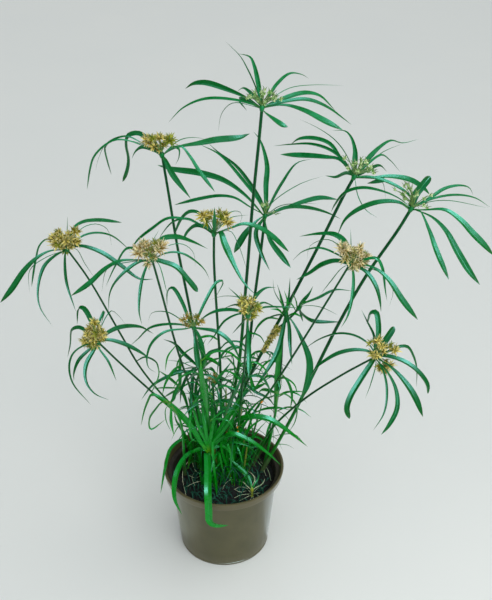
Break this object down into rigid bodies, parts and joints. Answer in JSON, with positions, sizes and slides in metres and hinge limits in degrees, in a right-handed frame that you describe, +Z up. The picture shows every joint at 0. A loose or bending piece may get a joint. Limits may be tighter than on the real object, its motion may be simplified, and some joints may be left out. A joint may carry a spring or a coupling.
{
  "type": "potted umbrella sedge",
  "caption": "Tall grassy pond plant in a round nursery pot, its thin stems topped by umbrella whorls of long blades and small flower heads.",
  "frame": {"origin": "middle of the pot's foot, on the surface it stands on", "axes": "+Z up; a viewer in front looks along +Y, with +X to the right"},
  "size_m": [0.7335, 0.4355, 0.829],
  "materials": {
    "pot": "satin",
    "soil": "matte",
    "culm": "satin",
    "bract": "satin",
    "leaf": "satin",
    "shoot": "satin",
    "flowers_pale": "matte",
    "flowers_yellow": "matte",
    "flowers_brown": "matte"
  },
  "bodies": {
    "root": {"culm_01": "culm", "whorl_01": "bract", "flowers_01": "flowers_pale", "culm_02": "culm", "whorl_02": "bract", "flowers_02": "flowers_yellow", "culm_03": "culm", "whorl_03": "bract", "flowers_03": "flowers_pale", "culm_04": "culm", "whorl_04": "bract", "flowers_04": "flowers_pale", "culm_05": "culm", "whorl_05": "bract", "flowers_05": "flowers_pale", "culm_06": "culm", "whorl_06": "bract", "flowers_06": "flowers_yellow", "culm_07": "culm", "whorl_07": "bract", "flowers_07": "flowers_yellow", "culm_08": "culm", "whorl_08": "bract", "flowers_08": "flowers_yellow", "culm_09": "culm", "whorl_09": "bract", "flowers_09": "flowers_yellow", "culm_10": "culm", "whorl_10": "bract", "flowers_10": "flowers_yellow", "culm_11": "culm", "whorl_11": "bract", "flowers_11": "flowers_brown", "culm_12": "culm", "whorl_12": "bract", "flowers_12": "flowers_yellow", "culm_13": "culm", "whorl_13": "bract", "flowers_13": "flowers_yellow", "culm_14": "culm", "whorl_14": "bract", "culm_15": "culm", "whorl_15": "bract", "culm_16": "culm", "whorl_16": "bract", "culm_17": "culm", "whorl_17": "bract", "flowers_17": "flowers_brown", "shoot_1": "shoot", "shoot_2": "shoot", "shoot_3": "shoot", "shoot_4": "shoot", "leaf_right": "leaf", "leaf_front": "leaf", "leaf_front_left": "leaf", "leaf_left": "leaf", "leaf_front_right": "leaf", "soil": "soil", "pot": "pot"}
  },
  "joints": []
}
